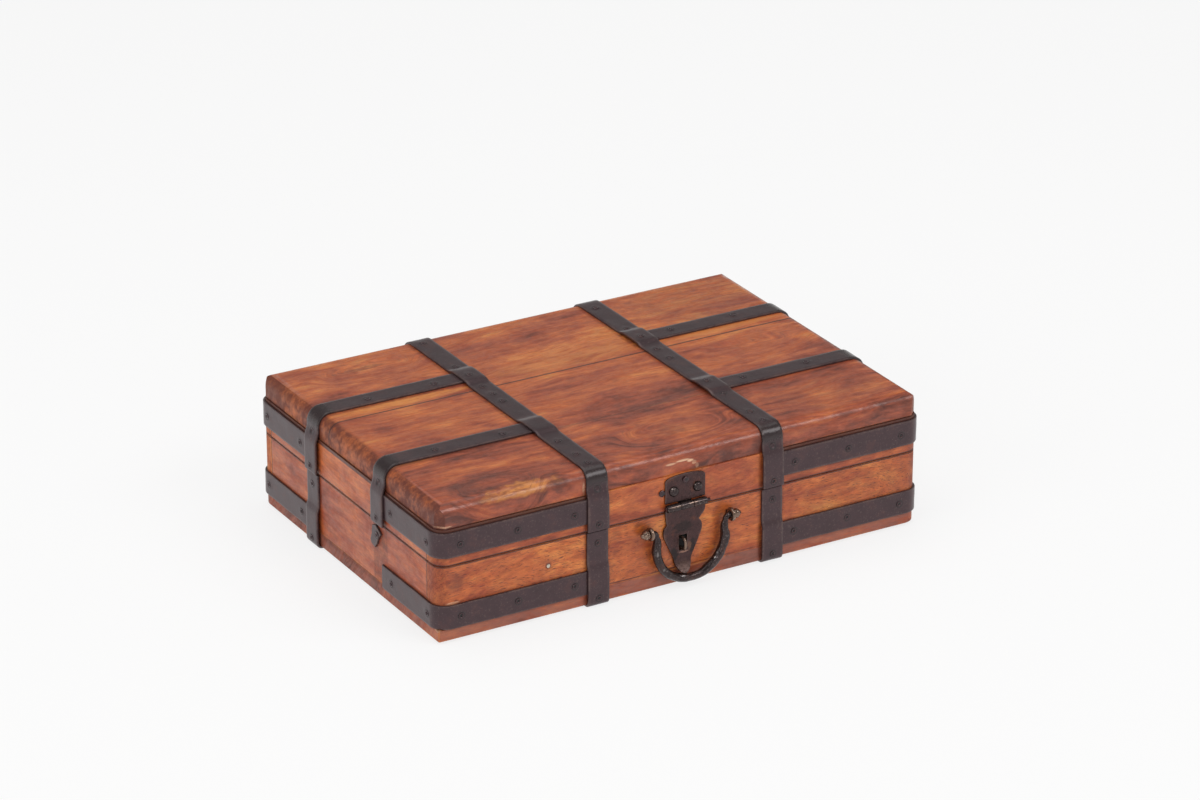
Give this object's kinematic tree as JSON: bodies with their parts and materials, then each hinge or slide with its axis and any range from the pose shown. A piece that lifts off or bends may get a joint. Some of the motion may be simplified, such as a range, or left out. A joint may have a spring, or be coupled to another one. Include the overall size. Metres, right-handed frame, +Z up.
{
  "type": "ditty box",
  "caption": "flat hardwood box for papers and keepsakes, bound with nailed iron straps, with a hinged lid, a slotted hasp over a staple and a drop handle",
  "frame": {"origin": "middle of the plane that the box rests on, under the centre of its wooden base", "axes": "+X to the right along the long side, +Y to the back where the hinges are, +Z up; the hasp and the handle are on the -Y side"},
  "size_m": [0.3576, 0.2561, 0.0953],
  "materials": {
    "lacquered_hardwood": "satin lacquer over reddish-brown hardwood",
    "strip_iron": "dark satin, browned with age",
    "forged_iron": "black-brown, polished by use",
    "nail_iron": "dark satin with worn edges",
    "rivet_iron": "bright, worn domes",
    "brad_steel": "bright, with a dark halo in the wood"
  },
  "bodies": {
    "base": {"base_back_wall": "lacquered_hardwood", "base_bottom_panel": "lacquered_hardwood", "base_corner_band_left_back": "strip_iron", "base_corner_band_left_front": "strip_iron", "base_corner_band_right_back": "strip_iron", "base_corner_band_right_front": "strip_iron", "base_end_strap_left_back": "strip_iron", "base_end_strap_right_back": "strip_iron", "base_end_strap_right_front": "strip_iron", "base_front_strap_left": "strip_iron", "base_front_strap_right": "strip_iron", "base_front_wall": "lacquered_hardwood", "base_hinge_strap_left": "strip_iron", "base_hinge_strap_right": "strip_iron", "base_left_wall": "lacquered_hardwood", "base_nails": "nail_iron", "base_right_wall": "lacquered_hardwood", "handle_eye_left": "forged_iron", "handle_eye_right": "forged_iron", "hasp_staple": "forged_iron", "hinge_pin_left": "strip_iron", "hinge_pin_right": "strip_iron", "stray_brad": "brad_steel", "torn_strap_end": "strip_iron"},
    "lid": {"cross_strap_left_back": "strip_iron", "cross_strap_left_front": "strip_iron", "cross_strap_right_back": "strip_iron", "cross_strap_right_front": "strip_iron", "hasp_leaf": "strip_iron", "hasp_pin": "strip_iron", "hasp_rivets": "rivet_iron", "lid_back_wall": "lacquered_hardwood", "lid_corner_band_left_back": "strip_iron", "lid_corner_band_left_front": "strip_iron", "lid_corner_band_right_back": "strip_iron", "lid_corner_band_right_front": "strip_iron", "lid_front_wall": "lacquered_hardwood", "lid_left_wall": "lacquered_hardwood", "lid_nails": "nail_iron", "lid_right_wall": "lacquered_hardwood", "lid_strap_left": "strip_iron", "lid_strap_right": "strip_iron", "top_board_back": "lacquered_hardwood", "top_board_front": "lacquered_hardwood", "top_board_middle": "lacquered_hardwood"},
    "hasp_flap": {"hasp_flap": "strip_iron"},
    "handle": {"bail_handle": "forged_iron"}
  },
  "joints": [
    {"name": "lid_hinge", "type": "hinge", "parent": "base", "child": "lid", "pos_m": [0, 0.1233, 0.0515], "axis": [-1, 0, 0], "range_deg": [0, 180]},
    {"name": "hasp_hinge", "type": "hinge", "parent": "lid", "child": "hasp_flap", "pos_m": [-0.0004, -0.12275, 0.0549], "axis": [-1, 0, 0], "range_deg": [0, 150]},
    {"name": "handle_swing", "type": "hinge", "parent": "base", "child": "handle", "pos_m": [0.0016, -0.125, 0.042], "axis": [-1, 0, 0], "range_deg": [0, 170]}
  ]
}
